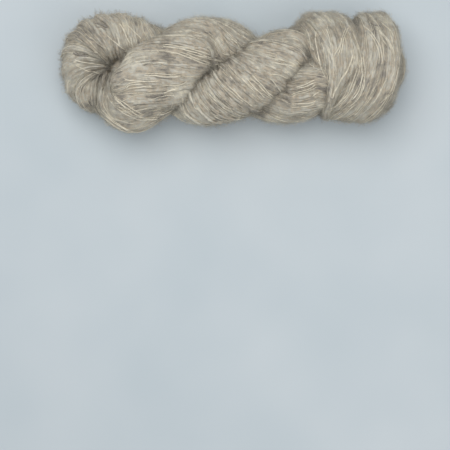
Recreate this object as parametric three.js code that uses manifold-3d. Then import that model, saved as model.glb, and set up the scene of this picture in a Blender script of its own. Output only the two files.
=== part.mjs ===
// Twisted skein of brushed yarn, lying on its side as one wound body.
// Units are millimetres. +X runs along the skein from the fold end to the tucked end, +Z is up,
// and the origin is on the resting plane under the middle of the skein.
//
// The skein is a thick bundle of yarn turns. The bundle is folded in half, its two halves are laid
// round each other, and the opened end of the bundle is wrapped round the joined end as two bands,
// with the looped tip of the other end poking out of them.

import * as THREE from 'three';
import { mergeVertices } from 'three/addons/utils/BufferGeometryUtils.js';
import Module from 'manifold-3d';

// Driving dimensions.
const SPINE_HEIGHT = 33; // resting plane to the line that both halves wind round
const FOLD_EYE_X = -97; // inside of the bend at the fold end
const TIP_EYE_X = 112; // inside of the bend of the tucked tip
const FOLD_END_X = -85; // the fold starts to turn into the twisted part here
const TWIST_START_X = -61; // and is all twisted part from here
const BEND_FILL = 0.93; // share of the way to its eye that a bend fills
const SEAM_OVERLAP = 5; // how far each half is pressed past the spine into the other
const HEART_RADIUS = 12; // yarn that fills the line between the two halves
const HEART_START_X = -102; // it runs from inside the fold
const HEART_END_X = 124; // to the tucked tip
const HEART_NOSE = 16; // length of its rounded end, which fills the eye of the fold
const MIDDLE_X = -0.76; // brings the middle of the skein to the origin
const MIDDLE_Y = -0.19;
const CUT_SIZE = 600; // block above the resting plane, larger than the skein

// Bunches of yarn turns that stand out on the surface.
const BUNCH_DEPTH = 1.3;
const STRAND_BUNCHES = 5;
const BAND_BUNCHES = 6;
const TIP_BUNCHES = 4;

// Facets.
const FACETS_PER_BUNCH = 4;
const STRAND_STEPS_PER_SECTION = 6;
const BAND_STEPS_PER_SECTION = 5;
const HEART_STEPS = 16;
const HEART_CROWDING = 1.6; // how much closer its facets are at the nose
const HEART_NOSE_TIP = 0.04; // share of the nose that is left off
const HEART_SIDES = 12;
const MERGE_DISTANCE = 1e-4;
const SHORTEST_EDGE = 0.25;

// A row for each section of a bundle: its middle, its half width along the skin, its half thickness
// away from the spine, and how far its yarns lean off the bundle's own line, in degrees.
const section = (x, y, z, wide, thick, lean) => ({ x, y, z, wide, thick, lean });

// From the tucked end along the near half, round the fold and back along the far half.
const STRAND_SECTIONS = [
  section(108, -6, 33, 16, 14, 45),
  section(90, -4, 36, 17, 16, 45),
  section(69, -10, 40, 22, 20, 48),
  section(49, -19, 32, 22, 21, 52),
  section(27, -14, 22, 23, 22, 45),
  section(14, -2, 19, 24, 22, 25),
  section(-1, 12, 28, 24, 24, 30),
  section(-25, 18, 34, 26, 25, 60),
  section(-49, 4, 42, 29, 24, 68),
  section(-68, -11, 40, 32, 24, 67),
  section(-81, -24, 31, 28, 24, 64),
  section(-91, -20, 27, 25, 23, 62),
  section(-103, -15, 23, 22, 18, 68),
  section(-114, -9, 22, 23, 21, 72),
  section(-118, 4, 23, 24, 22, 76),
  section(-112, 19, 25, 26, 24, 76),
  section(-97, 25, 29, 26, 22, 74),
  section(-80, 20, 29, 25, 22, 72),
  section(-66, 12, 25, 24, 22, 66),
  section(-51, 1, 20, 24, 22, 66),
  section(-36, -13, 22, 25, 22, 74),
  section(-19, -20, 32, 26, 23, 78),
  section(12, -9, 42, 25, 23, 77),
  section(34, 6, 40, 24, 22, 70),
  section(51, 13, 31, 22, 21, 66),
  section(70, 8, 25, 20, 19, 50),
  section(95, 2, 26, 16, 14, 45),
];

// The two bands go round the joined end: under it, up its near side, over it and down its far side.
// On the near side the outer band is wide and lies over most of the inner one.
const INNER_BAND = [
  section(84, 4, 15, 24, 15, 10),
  section(80, -16, 18, 18, 15, 0),
  section(75, -25, 29, 10, 12, -8),
  section(79, -15, 43, 12, 15, -10),
  section(86, 6, 50, 21, 17, -12),
  section(79, 25, 43, 25, 17, -12),
  section(72, 33, 31, 23, 15, 0),
  section(82, 24, 18, 24, 15, 20),
];

const OUTER_BAND = [
  section(110, 4, 15, 26, 15, 0),
  section(104, -16, 18, 28, 15, 10),
  section(99, -26, 31, 28, 15, 26),
  section(103, -16, 45, 28, 18, 28),
  section(110, 5, 49, 24, 17, 4),
  section(112, 23, 43, 21, 17, -26),
  section(114, 33, 31, 18, 15, -28),
  section(113, 22, 18, 20, 15, -10),
];

// The looped tip that pokes out: its second end is pressed in between the bands.
const TIP_SECTIONS = [
  section(106, -14, 30, 12, 9, 20),
  section(119, -13, 30, 13, 9, 20),
  section(128, -4, 30, 13, 10, 20),
  section(128, 8, 31, 13, 10, 20),
  section(119, 17, 31, 13, 9, 20),
  section(88, 19, 31, 13, 14, 20),
];

// The spine, from the eye of the fold to the eye of the tip: it wanders sideways between them.
const SPINE_ROWS = [
  new THREE.Vector3(FOLD_EYE_X, 3, SPINE_HEIGHT),
  new THREE.Vector3(-50, -2, SPINE_HEIGHT),
  new THREE.Vector3(0, -4, SPINE_HEIGHT),
  new THREE.Vector3(50, -3, SPINE_HEIGHT),
  new THREE.Vector3(90, 4, SPINE_HEIGHT),
  new THREE.Vector3(TIP_EYE_X, 3, SPINE_HEIGHT),
];

const wasm = await Module();
wasm.setup();

/** The point of the spine beside a place along the skein. */
function spineBeside(place) {
  const x = THREE.MathUtils.clamp(place, FOLD_EYE_X, TIP_EYE_X);
  const after = Math.max(1, SPINE_ROWS.findIndex((row) => row.x >= x));
  const from = SPINE_ROWS[after - 1];
  const to = SPINE_ROWS[after];
  const point = new THREE.Vector3().lerpVectors(from, to, THREE.MathUtils.smoothstep(x, from.x, to.x));
  return point.setX(x);
}

/** How far a section of a bend reaches inwards: most of the way to its eye. */
function reachInBend(depth) {
  return depth * BEND_FILL;
}

/** How far a section of the folded bundle reaches inwards: past the spine, but not in the fold. */
function reachInTwist(depth, x) {
  const twisted = THREE.MathUtils.smoothstep(x, FOLD_END_X, TWIST_START_X);
  return THREE.MathUtils.lerp(reachInBend(depth), depth + SEAM_OVERLAP, twisted);
}

/**
 * Frames along a table of sections, with the sizes there and the roll of the yarns up to there.
 * Round a closed band the roll comes back to nothing, so that the yarns meet themselves.
 */
function framesAlong(rows, stepsPerSection, closed, inwardReach) {
  const middles = rows.map((row) => new THREE.Vector3(row.x, row.y, row.z));
  const shapes = rows.map((row) => new THREE.Vector3(row.wide, row.thick, row.lean));
  const path = new THREE.CatmullRomCurve3(middles, closed);
  const shape = new THREE.CatmullRomCurve3(shapes, closed);
  const steps = (closed ? rows.length : rows.length - 1) * stepsPerSection;
  const frames = [];
  let roll = 0;
  for (let step = 0; step <= steps; step += 1) {
    const middle = path.getPoint(step / steps);
    const { x: wide, y: thick, z: lean } = shape.getPoint(step / steps);
    const along = closed ? new THREE.Vector3(1, 0, 0) : path.getTangent(step / steps);
    const outward = middle.clone().sub(spineBeside(middle.x));
    outward.addScaledVector(along, -outward.dot(along));
    const depth = outward.length();
    outward.normalize();
    const across = closed ? along : new THREE.Vector3().crossVectors(along, outward);
    const travel = step > 0 ? middle.distanceTo(frames[step - 1].middle) : 0;
    roll += (Math.tan(THREE.MathUtils.degToRad(lean)) * travel) / wide;
    const inward = inwardReach(depth, middle.x);
    frames.push({ middle, outward, across, wide, thick, inward, roll });
  }
  const drift = closed ? roll / steps : 0;
  return frames.map((frame, step) => ({ ...frame, roll: frame.roll - drift * step }));
}

/** A point of a section: its inner half is pressed flat, and bunches of yarn stand out of its rim. */
function sectionPoint(frame, angle, bunches, share) {
  const turned = angle + frame.roll;
  const outer = Math.cos(turned);
  const reach = outer > 0 ? frame.thick : frame.inward;
  const swell = share * (1 + (BUNCH_DEPTH / frame.wide) * Math.cos(bunches * angle));
  return frame.middle.clone()
    .addScaledVector(frame.outward, outer * reach * swell)
    .addScaledVector(frame.across, Math.sin(turned) * frame.wide * swell);
}

/** Moves every vertex of a geometry to the place that a function gives for it. */
function reshape(geometry, placeOf) {
  const position = geometry.attributes.position;
  const vertex = new THREE.Vector3();
  for (let index = 0; index < position.count; index += 1) {
    const moved = placeOf(vertex.fromBufferAttribute(position, index));
    position.setXYZ(index, moved.x, moved.y, moved.z);
  }
  return geometry;
}

/** Turns every triangle of a geometry round, after a move that mirrors it. */
function turnRound(geometry) {
  const index = geometry.index;
  for (let corner = 0; corner < index.count; corner += 3) {
    const second = index.getX(corner + 1);
    index.setX(corner + 1, index.getX(corner + 2));
    index.setX(corner + 2, second);
  }
  return geometry;
}

/** A bundle of yarn through a table of sections, with a flat face at each end. */
function openBundle(rows, bunches, inwardReach) {
  const frames = framesAlong(rows, STRAND_STEPS_PER_SECTION, false, inwardReach);
  const steps = frames.length - 1;
  const rod = new THREE.CylinderGeometry(1, 1, 1, bunches * FACETS_PER_BUNCH, steps);
  return turnRound(reshape(rod, (vertex) => {
    const step = Math.round((0.5 - vertex.y) * steps);
    const angle = -Math.atan2(vertex.z, vertex.x);
    return sectionPoint(frames[step], angle, bunches, Math.hypot(vertex.x, vertex.z));
  }));
}

/** A band of yarn through a table of sections that closes on itself. */
function closedBand(rows, bunches) {
  const frames = framesAlong(rows, BAND_STEPS_PER_SECTION, true, reachInBend);
  const steps = frames.length - 1;
  const ringRadius = 2;
  const ring = new THREE.TorusGeometry(ringRadius, 1, bunches * FACETS_PER_BUNCH, steps);
  return turnRound(reshape(ring, (vertex) => {
    const turn = Math.atan2(vertex.y, vertex.x) / (2 * Math.PI);
    const step = Math.round((turn + 1) * steps) % steps;
    const angle = Math.atan2(vertex.z, Math.hypot(vertex.x, vertex.y) - ringRadius);
    return sectionPoint(frames[step], angle, bunches, 1);
  }));
}

/** The yarn along the spine, between the two halves. */
function heart() {
  const rod = new THREE.CylinderGeometry(HEART_RADIUS, HEART_RADIUS, 1, HEART_SIDES, HEART_STEPS);
  return reshape(rod, (vertex) => {
    const share = (0.5 - vertex.y) ** HEART_CROWDING;
    const x = THREE.MathUtils.lerp(HEART_START_X, HEART_END_X, share);
    const grown = (x - HEART_START_X) / HEART_NOSE;
    const swell = Math.sqrt(THREE.MathUtils.clamp(grown, HEART_NOSE_TIP, 1));
    const middle = spineBeside(x);
    return new THREE.Vector3(x, middle.y + vertex.x * swell, middle.z + vertex.z * swell);
  });
}

/** A closed geometry as a solid that can be joined and cut. */
function solidOf(geometry) {
  geometry.deleteAttribute('normal');
  geometry.deleteAttribute('uv');
  const merged = mergeVertices(geometry, MERGE_DISTANCE);
  return new wasm.Manifold(new wasm.Mesh({
    numProp: 3,
    vertProperties: merged.attributes.position.array,
    triVerts: Uint32Array.from(merged.index.array),
  }));
}

/** Closes up the very short edges that joined solids leave, and keeps the mesh closed. */
function withoutShortEdges(points, triangles) {
  const facesAt = points.map(() => new Set());
  triangles.forEach((corners, face) => corners.forEach((corner) => facesAt[corner].add(face)));
  const neighboursOf = (corner) => {
    const near = new Set([...facesAt[corner]].flatMap((face) => triangles[face]));
    near.delete(corner);
    return near;
  };
  const closeUp = (lost, kept) => {
    const near = neighboursOf(kept);
    const shared = [...neighboursOf(lost)].filter((corner) => near.has(corner));
    if (shared.length !== 2) return;
    for (const face of facesAt[lost]) {
      if (triangles[face].includes(kept)) {
        triangles[face].forEach((corner) => corner !== lost && facesAt[corner].delete(face));
        triangles[face] = [];
      } else {
        triangles[face] = triangles[face].map((corner) => (corner === lost ? kept : corner));
        facesAt[kept].add(face);
      }
    }
    facesAt[lost].clear();
  };
  for (let face = 0; face < triangles.length; face += 1) {
    for (let side = 0; side < triangles[face].length; side += 1) {
      const start = triangles[face][side];
      const end = triangles[face][(side + 1) % 3];
      const lower = points[start].z < points[end].z ? start : end;
      const upper = lower === start ? end : start;
      if (points[start].distanceTo(points[end]) < SHORTEST_EDGE) closeUp(upper, lower);
    }
  }
  return triangles.filter((corners) => corners.length === 3);
}

/** A solid as a geometry for a mesh. */
function geometryOf(solid) {
  const mesh = solid.getMesh();
  const position = new THREE.BufferAttribute(mesh.vertProperties, mesh.numProp);
  const points = Array.from({ length: position.count }, (_, index) => (
    new THREE.Vector3().fromBufferAttribute(position, index)));
  const triangles = Array.from({ length: mesh.triVerts.length / 3 }, (_, index) => (
    Array.from(mesh.triVerts.slice(3 * index, 3 * index + 3))));
  const geometry = new THREE.BufferGeometry();
  geometry.setAttribute('position', position);
  geometry.setIndex(withoutShortEdges(points, triangles).flat());
  geometry.computeVertexNormals();
  return geometry;
}

/** The whole skein: every bundle joined into one body and pressed flat where it rests. */
function skeinBody() {
  const bundles = [
    openBundle(STRAND_SECTIONS, STRAND_BUNCHES, reachInTwist),
    closedBand(INNER_BAND, BAND_BUNCHES),
    closedBand(OUTER_BAND, BAND_BUNCHES),
    openBundle(TIP_SECTIONS, TIP_BUNCHES, reachInBend),
    heart(),
  ];
  const joined = bundles.map(solidOf).reduce((whole, part) => whole.add(part));
  const above = new THREE.BoxGeometry(CUT_SIZE, CUT_SIZE, CUT_SIZE);
  above.translate(0, 0, CUT_SIZE / 2);
  const rested = joined.intersect(solidOf(above));
  return geometryOf(rested).translate(-MIDDLE_X, -MIDDLE_Y, 0);
}

const brushedYarn = new THREE.MeshStandardMaterial({ color: 0xb9b1a1, roughness: 0.95, metalness: 0 });

const skein = new THREE.Mesh(skeinBody(), brushedYarn);
skein.name = 'skein';

const group = new THREE.Group();
group.add(skein);

export default group;
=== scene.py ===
"""Twisted skein of brushed heather yarn, lying on its side.

The skein is a thick bundle of yarn turns. The bundle is folded in half at one end, its halves are
laid round each other, and the opened end is wrapped round the joined end as two bands, with the tip
of the other end poking out. A closed body gives that wound form. Turns of fluffy yarn, thin cream
core threads and brushed fibres lie on the body and follow its twist.

Shapes are worked out in millimetres and become metres when a mesh is made.
"""

import logging
import math
from abc import ABC
from abc import abstractmethod
from collections.abc import Iterable
from collections.abc import Sequence
from dataclasses import dataclass
from dataclasses import field
from enum import Enum
from typing import NamedTuple

import bmesh
import bpy
import numpy as np
from mathutils import Matrix
from mathutils import Vector
from mathutils.bvhtree import BVHTree

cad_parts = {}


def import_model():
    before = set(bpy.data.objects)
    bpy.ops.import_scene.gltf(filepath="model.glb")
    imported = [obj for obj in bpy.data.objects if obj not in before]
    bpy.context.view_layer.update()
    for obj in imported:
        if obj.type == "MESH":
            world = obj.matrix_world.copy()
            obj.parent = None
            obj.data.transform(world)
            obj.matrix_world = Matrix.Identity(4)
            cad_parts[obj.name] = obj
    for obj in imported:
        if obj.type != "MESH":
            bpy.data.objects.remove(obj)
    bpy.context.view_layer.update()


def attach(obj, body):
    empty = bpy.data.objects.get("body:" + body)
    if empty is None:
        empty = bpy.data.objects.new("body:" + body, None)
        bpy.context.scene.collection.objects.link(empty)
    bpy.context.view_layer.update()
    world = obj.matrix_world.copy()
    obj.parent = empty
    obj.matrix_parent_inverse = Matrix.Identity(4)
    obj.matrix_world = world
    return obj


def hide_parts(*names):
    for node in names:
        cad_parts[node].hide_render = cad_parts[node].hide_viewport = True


LOG = logging.getLogger("skein")

MM = 0.001
FULL_TURN = 2.0 * math.pi
BODY_NAME = "root"
CAD_NODE = "skein"

# What is stored on every mesh.
BAKE_MAP = "OFBake"
FLOW = "flow"
TONE = "tone"
# How open the skin lies, by which the finishes paint shade into the wool's colour.
LIGHT = "light"

# The wound form, in millimetres.
SPINE_HEIGHT = 33.0
FOLD_EYE_X = -97.0
TIP_EYE_X = 112.0
FOLD_END_X = -85.0
TWIST_START_X = -61.0
BEND_FILL = 0.93
SEAM_OVERLAP = 5.0
MIDDLE = np.array([-0.76, -0.19, 0.0])
BUNCH_DEPTH = 1.3

# Lumps between the bunches: how many go round a bundle, their height and how long they stay alike.
LUMPS_ROUND = (7, 9, 11, 13, 15, 17)
LUMP_DEPTH = 0.16
LUMP_LENGTH = 240.0

# The point that the skein is looked at from.
EYE = np.array([-5.8, -125.1, 1133.0])


class Section(NamedTuple):
    """A place along a bundle.

    Attributes:
        x: Middle of the section, along the skein.
        y: Middle of the section, across the skein.
        z: Middle of the section, above the resting plane.
        wide: Half width along the skin.
        thick: Half thickness away from the spine.
        lean: How far the yarns lean off the bundle's own line, in degrees.
    """

    x: float
    y: float
    z: float
    wide: float
    thick: float
    lean: float


# From the tucked end along the near half, round the fold and back along the far half.
STRAND_SECTIONS = (
    Section(108, -6, 33, 16, 14, 45),
    Section(90, -4, 36, 17, 16, 45),
    Section(69, -10, 40, 22, 20, 48),
    Section(49, -19, 32, 22, 21, 52),
    Section(27, -14, 22, 23, 22, 45),
    Section(14, -2, 19, 24, 22, 25),
    Section(-1, 12, 28, 24, 24, 30),
    Section(-25, 18, 34, 26, 25, 60),
    Section(-49, 4, 42, 29, 24, 68),
    Section(-68, -11, 40, 32, 24, 67),
    Section(-81, -24, 31, 28, 24, 64),
    Section(-91, -20, 27, 25, 23, 62),
    Section(-103, -15, 23, 22, 18, 68),
    Section(-114, -9, 22, 23, 21, 72),
    Section(-118, 4, 23, 24, 22, 76),
    Section(-112, 19, 25, 26, 24, 76),
    Section(-97, 25, 29, 26, 22, 74),
    Section(-80, 20, 29, 25, 22, 72),
    Section(-66, 12, 25, 24, 22, 66),
    Section(-51, 1, 20, 24, 22, 66),
    Section(-36, -13, 22, 25, 22, 74),
    Section(-19, -20, 32, 26, 23, 78),
    Section(12, -9, 42, 25, 23, 77),
    Section(34, 6, 40, 24, 22, 70),
    Section(51, 13, 31, 22, 21, 66),
    Section(70, 8, 25, 20, 19, 50),
    Section(95, 2, 26, 16, 14, 45),
)

# The bands go under the joined end, up its near side, over it and down its far side.
INNER_BAND = (
    Section(84, 4, 15, 24, 15, 10),
    Section(80, -16, 18, 18, 15, 0),
    Section(75, -25, 29, 10, 12, -8),
    Section(79, -15, 43, 12, 15, -10),
    Section(86, 6, 50, 21, 17, -12),
    Section(79, 25, 43, 25, 17, -12),
    Section(72, 33, 31, 23, 15, 0),
    Section(82, 24, 18, 24, 15, 20),
)

OUTER_BAND = (
    Section(110, 4, 15, 26, 15, 0),
    Section(104, -16, 18, 28, 15, 10),
    Section(99, -26, 31, 28, 15, 26),
    Section(103, -16, 45, 28, 18, 28),
    Section(110, 5, 49, 24, 17, 4),
    Section(112, 23, 43, 21, 17, -26),
    Section(114, 33, 31, 18, 15, -28),
    Section(113, 22, 18, 20, 15, -10),
)

TIP_SECTIONS = (
    Section(106, -14, 30, 12, 9, 20),
    Section(119, -13, 30, 13, 9, 20),
    Section(128, -4, 30, 13, 10, 20),
    Section(128, 8, 31, 13, 10, 20),
    Section(119, 17, 31, 13, 9, 20),
    Section(88, 19, 31, 13, 14, 20),
)

# The line that both halves wind round: x and its sideways wander.
SPINE_PLACES = (
    (FOLD_EYE_X, 3.0),
    (-50.0, -2.0),
    (0.0, -4.0),
    (50.0, -3.0),
    (90.0, 4.0),
    (TIP_EYE_X, 3.0),
)


def smoothstep(value: np.ndarray, low: float | np.ndarray, high: float | np.ndarray) -> np.ndarray:
    """Rises smoothly from 0 to 1.

    Args:
        value: The numbers to map.
        low: Where the rise starts.
        high: Where it ends.

    Returns:
        The mapped numbers, 0 below low and 1 above high.
    """
    share = np.clip((value - low) / (high - low), 0.0, 1.0)
    return share * share * (3.0 - 2.0 * share)


def unit(vectors: np.ndarray) -> np.ndarray:
    """Vectors at length one."""
    tiny = 1e-9
    return vectors / np.maximum(np.linalg.norm(vectors, axis=-1, keepdims=True), tiny)


def catmull_rom(points: np.ndarray, shares: np.ndarray, closed: bool) -> np.ndarray:
    """Follows a smooth curve through points, with no loops between uneven ones.

    Args:
        points: The points, one to a row.
        shares: Places along the curve, from 0 to 1.
        closed: Whether the curve goes from the last point back to the first.

    Returns:
        The point at each share.
    """
    same_point = 1e-4
    spans = len(points) if closed else len(points) - 1
    places = shares * spans
    first = np.minimum(places.astype(int), spans - 1)
    weight = (places - first)[:, None]
    if closed:
        rows = np.concatenate([points[-1:], points, points[:2]])
    else:
        rows = np.concatenate([2.0 * points[:1] - points[1:2], points, 2.0 * points[-1:] - points[-2:-1]])
    before, start, end, after = (rows[first + step] for step in range(4))
    gaps = []
    for low, high in ((start, end), (before, start), (end, after)):
        gap = np.sqrt(np.linalg.norm(high - low, axis=1, keepdims=True))
        gaps.append(np.where(gap < same_point, gaps[0] if gaps else 1.0, gap))
    middle_gap, first_gap, last_gap = gaps
    leaving = (start - before) / first_gap - (end - before) / (first_gap + middle_gap)
    leaving = (leaving + (end - start) / middle_gap) * middle_gap
    arriving = (end - start) / middle_gap - (after - start) / (middle_gap + last_gap)
    arriving = (arriving + (after - end) / last_gap) * middle_gap
    square = 3.0 * (end - start) - 2.0 * leaving - arriving
    cube = 2.0 * (start - end) + leaving + arriving
    return start + weight * (leaving + weight * (square + weight * cube))


def spine_beside(x: np.ndarray) -> np.ndarray:
    """Finds the points of the spine beside places along the skein.

    Args:
        x: The places, in millimetres.

    Returns:
        The points, one to a row.
    """
    places = np.array(SPINE_PLACES)
    inside = np.clip(x, places[0, 0], places[-1, 0])
    after = np.clip(np.searchsorted(places[:, 0], inside), 1, len(places) - 1)
    low = places[after - 1]
    high = places[after]
    share = smoothstep(inside, low[:, 0], high[:, 0])
    y = low[:, 1] + (high[:, 1] - low[:, 1]) * share
    return np.stack([inside, y, np.full_like(y, SPINE_HEIGHT)], axis=1)


class Frames(NamedTuple):
    """What a bundle is like at some places along it.

    Attributes:
        middle: Middle of the section.
        outward: Which way is away from the spine.
        across: Which way the section is wide.
        wide: Half width along the skin.
        thick: Half thickness away from the spine.
        inward: Half thickness towards the spine.
        roll: How far the yarns have turned round the bundle.
        yarn: Length of yarn up to there.
    """

    middle: np.ndarray
    outward: np.ndarray
    across: np.ndarray
    wide: np.ndarray
    thick: np.ndarray
    inward: np.ndarray
    roll: np.ndarray
    yarn: np.ndarray

    def flow(self, around: np.ndarray, yarn: np.ndarray) -> np.ndarray:
        """The wool's own coordinates: two round the bundle and one along the yarn."""
        radius = 0.5 * (self.wide + self.thick)
        return np.stack([radius * np.cos(around), radius * np.sin(around), yarn], axis=-1)


@dataclass
class Bundle:
    """A bundle of yarn turns through a table of sections.

    Attributes:
        name: What the bundle is.
        sections: Its sections in order.
        closed: Whether it goes round and meets itself.
        bunches: How many bunches of yarn stand out round it.
        folded: Whether it is pressed past the spine where it is twisted.
        seed: Picks its unevenness.
        steps_per_section: How finely it is followed.
        length: Its own length.
        yarn_length: Length of a yarn in it, which leans off its line.
        area: The area of its skin.
    """

    name: str
    sections: tuple[Section, ...]
    closed: bool
    bunches: int
    folded: bool = False
    seed: int = 1
    steps_per_section: int = 12
    length: float = field(init=False)
    yarn_length: float = field(init=False)
    area: float = field(init=False)

    def __post_init__(self) -> None:
        """Follows the sections once and keeps the frames found on the way."""
        table = np.array(self.sections, dtype=float)
        spans = len(table) if self.closed else len(table) - 1
        shares = np.linspace(0.0, 1.0, spans * self.steps_per_section + 1)
        middle = catmull_rom(table[:, :3], shares, self.closed)
        wide, thick, lean = catmull_rom(table[:, 3:], shares, self.closed).T
        if self.closed:
            along = np.tile([1.0, 0.0, 0.0], (len(shares), 1))
        else:
            along = unit(np.gradient(middle, axis=0))
        outward = middle - spine_beside(middle[:, 0])
        outward -= along * np.sum(outward * along, axis=1, keepdims=True)
        depth = np.linalg.norm(outward, axis=1)
        outward = unit(outward)
        across = along if self.closed else np.cross(along, outward)
        travel = np.linalg.norm(np.diff(middle, axis=0, prepend=middle[:1]), axis=1)
        slope = np.tan(np.radians(lean))
        roll = np.cumsum(slope * travel / wide)
        if self.closed:
            roll -= roll[-1] * shares
        yarn = np.cumsum(travel * np.hypot(1.0, slope))
        inward = depth * BEND_FILL
        if self.folded:
            twisted = smoothstep(middle[:, 0], FOLD_END_X, TWIST_START_X)
            inward = inward + (depth + SEAM_OVERLAP - inward) * twisted
        self._shares = shares
        self._yarn = yarn
        self._rows = np.column_stack([middle - MIDDLE, outward, across, wide, thick, inward, roll, yarn])
        rim = np.pi * (wide + 0.5 * (thick + inward))
        self._reach = np.cumsum(rim * travel)
        self.length = float(np.sum(travel))
        self.yarn_length = float(yarn[-1])
        self.area = float(self._reach[-1])
        lumps = np.random.default_rng(self.seed)
        self._lump_phase = lumps.uniform(0.0, FULL_TURN, len(LUMPS_ROUND))
        waves = lumps.uniform(-1.0, 1.0, len(LUMPS_ROUND)) * (self.yarn_length / LUMP_LENGTH)
        self._lump_drift = FULL_TURN / self.yarn_length * (np.round(waves) if self.closed else waves)

    def share_by_area(self, part: np.ndarray) -> np.ndarray:
        """The place along the bundle below which a part of its skin lies."""
        return np.interp(part * self._reach[-1], self._reach, self._shares)

    def yarn_at(self, share: np.ndarray) -> np.ndarray:
        """The length of yarn up to a place along the bundle."""
        return np.interp(share, self._shares, self._yarn)

    def share_at(self, yarn: np.ndarray) -> np.ndarray:
        """The place along the bundle that a length of yarn reaches."""
        wanted = np.mod(yarn, self.yarn_length) if self.closed else yarn
        return np.interp(wanted, self._yarn, self._shares)

    def frames_at(self, share: np.ndarray) -> Frames:
        """Reads the frames between the places that were followed.

        Args:
            share: Places along the bundle, from 0 to 1.

        Returns:
            The frames at these places.
        """
        place = np.clip(share, 0.0, 1.0) * (len(self._rows) - 1)
        low = np.minimum(place.astype(int), len(self._rows) - 2)
        weight = (place - low)[..., None]
        row = self._rows[low] * (1.0 - weight) + self._rows[low + 1] * weight
        middle, outward, across, numbers = np.split(row, (3, 6, 9), axis=-1)
        return Frames(middle, outward, across, *np.moveaxis(numbers, -1, 0))

    def relief(self, around: np.ndarray, yarn: np.ndarray, wide: np.ndarray) -> np.ndarray:
        """Works out how far the bunches and lumps stand out of the section's oval.

        Args:
            around: The yarn's own angle round the bundle.
            yarn: The length of yarn up to there.
            wide: The half width there.

        Returns:
            The factor on the section's reach.
        """
        height = BUNCH_DEPTH * np.cos(self.bunches * around)
        for lumps, phase, drift in zip(LUMPS_ROUND, self._lump_phase, self._lump_drift):
            height = height + LUMP_DEPTH * np.cos(lumps * around + phase + drift * yarn)
        return 1.0 + height / wide

    def skin(self, share: np.ndarray, around: np.ndarray, lift: np.ndarray | float = 0.0) -> np.ndarray:
        """Finds points on the skin of the bundle, or a little off it.

        Args:
            share: Places along the bundle, from 0 to 1.
            around: The yarn's own angle round the bundle, which stays the same along a yarn.
            lift: Distance off the skin.

        Returns:
            The points, in millimetres.
        """
        frames = self.frames_at(share)
        turned = around + frames.roll
        outer = np.cos(turned)
        reach = np.where(outer > 0.0, frames.thick, frames.inward)
        swell = self.relief(around, frames.yarn, frames.wide)
        away = outer * (reach * swell + lift)
        aside = np.sin(turned) * (frames.wide * swell + lift)
        return frames.middle + frames.outward * away[..., None] + frames.across * aside[..., None]

    def outward_at(self, share: np.ndarray, around: np.ndarray) -> np.ndarray:
        """Finds which way the skin faces.

        Args:
            share: Places along the bundle, from 0 to 1.
            around: The yarn's own angle round the bundle.

        Returns:
            Vectors of length one that point out of the bundle.
        """
        step = 0.002
        turn = 0.03
        frames = self.frames_at(share)
        low = np.clip(share - step, 0.0, 1.0)
        high = np.clip(share + step, 0.0, 1.0)
        ahead = self.skin(high, around + frames.roll - self.frames_at(high).roll)
        behind = self.skin(low, around + frames.roll - self.frames_at(low).roll)
        aside = self.skin(share, around + turn) - self.skin(share, around - turn)
        facing = unit(np.cross(aside, ahead - behind))
        out = self.skin(share, around) - frames.middle
        return np.where(np.sum(facing * out, axis=-1, keepdims=True) < 0.0, -facing, facing)


def skein_bundles() -> tuple[Bundle, ...]:
    """Lists the bundles of the skein.

    Returns:
        The bundles, the largest first.
    """
    return (
        Bundle("folded bundle", STRAND_SECTIONS, closed=False, bunches=5, folded=True, seed=3),
        Bundle("inner band", INNER_BAND, closed=True, bunches=6, seed=5),
        Bundle("outer band", OUTER_BAND, closed=True, bunches=6, seed=7),
        Bundle("tip", TIP_SECTIONS, closed=False, bunches=4, seed=11),
    )


# The curve by which a screen turns a value into light.
SCREEN_KNEE = 0.04045
SCREEN_SLOPE = 12.92
SCREEN_OFFSET = 0.055
SCREEN_POWER = 2.4


class Colour(NamedTuple):
    """A colour as it looks on a screen, each part from 0 to 255."""

    red: float
    green: float
    blue: float

    def linear(self) -> tuple[float, ...]:
        """Turns the colour into light.

        Returns:
            Its red, green and blue from 0 to 1, and a full alpha.
        """
        parts = np.array(self) / 255.0
        bright = ((parts + SCREEN_OFFSET) / (1.0 + SCREEN_OFFSET)) ** SCREEN_POWER
        light = np.where(parts <= SCREEN_KNEE, parts / SCREEN_SLOPE, bright)
        return (*light.tolist(), 1.0)


class Wool(Enum):
    """The colours that are carded together in the heather."""

    # The darkest, used only for the painted shade streaks.
    DEEP = Colour(116, 110, 103)
    SHADE = Colour(144, 138, 130)
    TAUPE = Colour(182, 174, 160)
    TAN = Colour(205, 191, 169)
    GREY = Colour(200, 196, 185)
    BEIGE = Colour(217, 210, 193)
    CREAM = Colour(241, 232, 211)
    CORE = Colour(252, 245, 227)


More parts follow.
